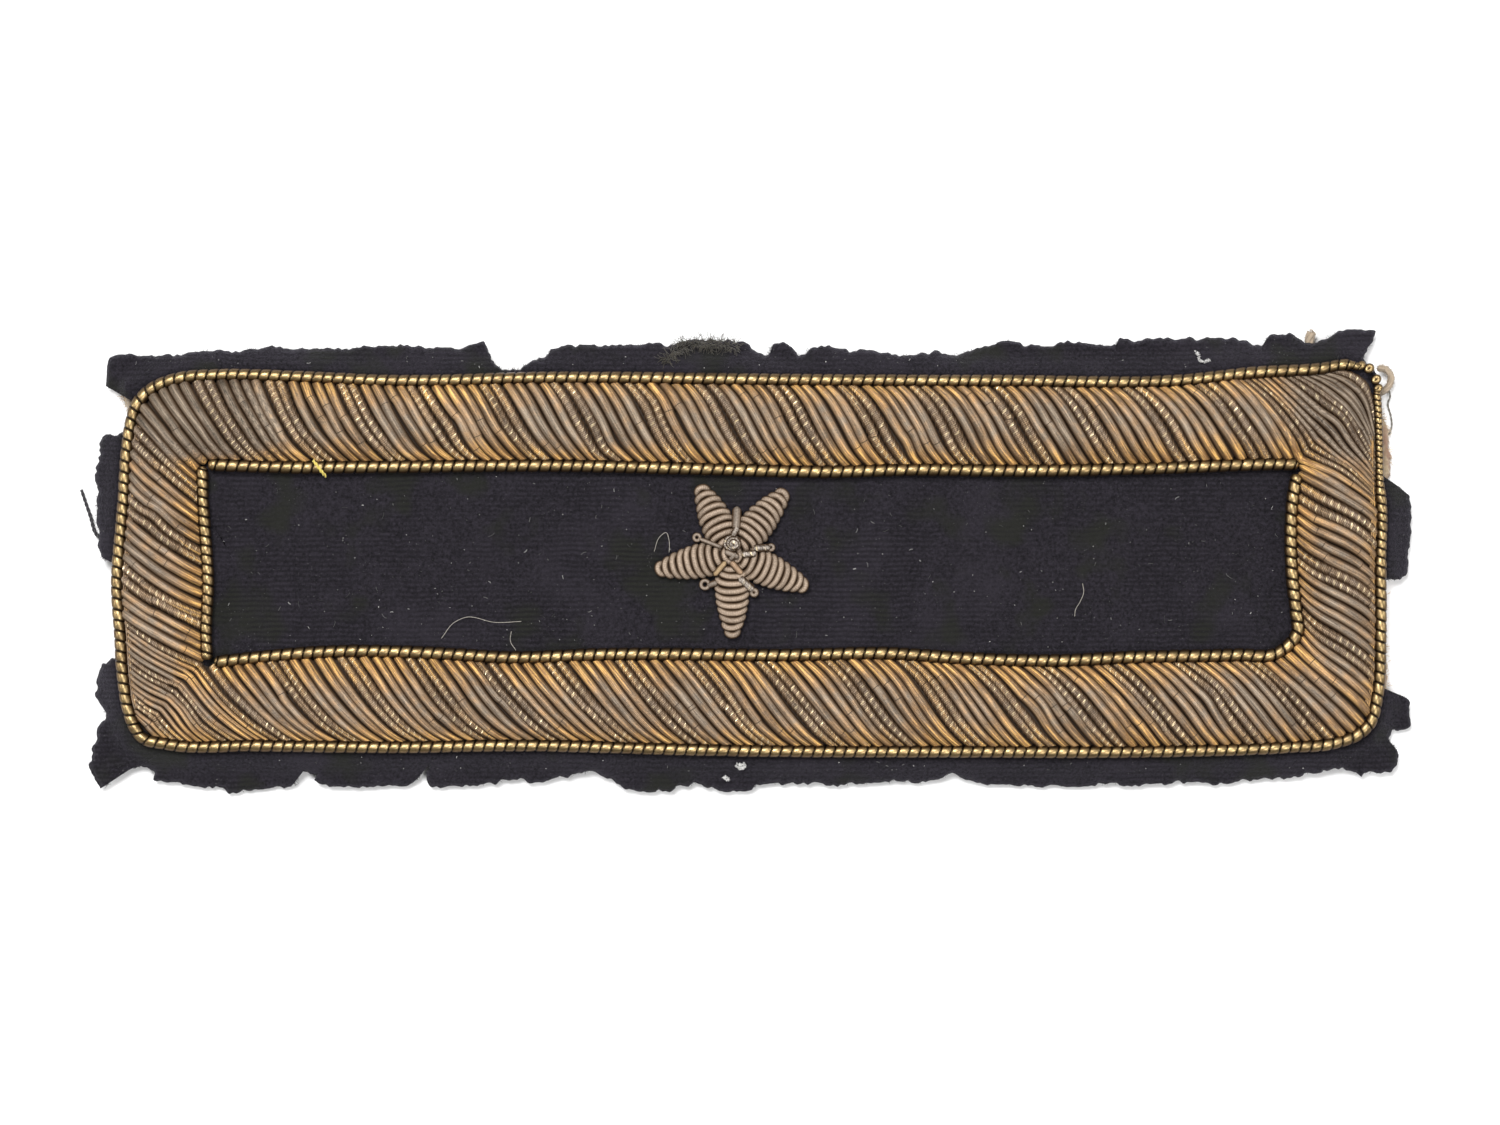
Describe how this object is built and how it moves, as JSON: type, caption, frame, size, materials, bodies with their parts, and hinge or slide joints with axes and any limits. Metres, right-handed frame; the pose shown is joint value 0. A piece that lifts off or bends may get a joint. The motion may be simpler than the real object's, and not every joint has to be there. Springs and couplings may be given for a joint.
{
  "type": "shoulder strap",
  "caption": "Flat cloth shoulder strap with a padded metal-thread border between two coiled cords and an embroidered star, for sewing on a coat shoulder.",
  "frame": {"origin": "on the back face, under the middle of the strap's outer cord rectangle", "axes": "+X along the strap's length, +Y across it, +Z out of the embroidered face"},
  "size_m": [0.11, 0.0379, 0.0044],
  "materials": {
    "tan_cotton": "coarse woven cotton, worn",
    "navy_wool": "felted wool, worn and ragged",
    "gold_bullion": "coiled gilt wire, tarnished",
    "gold_cord": "coiled gilt wire, tarnished",
    "silver_bullion": "coiled silvered wire, tarnished"
  },
  "bodies": {
    "root": {"backing": "tan_cotton", "cloth_ground": "navy_wool", "border_top": "gold_bullion", "border_right": "gold_bullion", "border_bottom": "gold_bullion", "border_left": "gold_bullion", "outer_cord": "gold_cord", "inner_cord": "gold_cord", "star_centre": "silver_bullion", "star_ray_down": "silver_bullion", "star_ray_right": "silver_bullion", "star_ray_upper_right": "silver_bullion", "star_ray_upper_left": "silver_bullion", "star_ray_left": "silver_bullion", "star_spoke_1": "silver_bullion", "star_spoke_2": "silver_bullion", "star_spoke_3": "silver_bullion", "star_spoke_4": "silver_bullion", "star_spoke_5": "silver_bullion"}
  },
  "joints": []
}
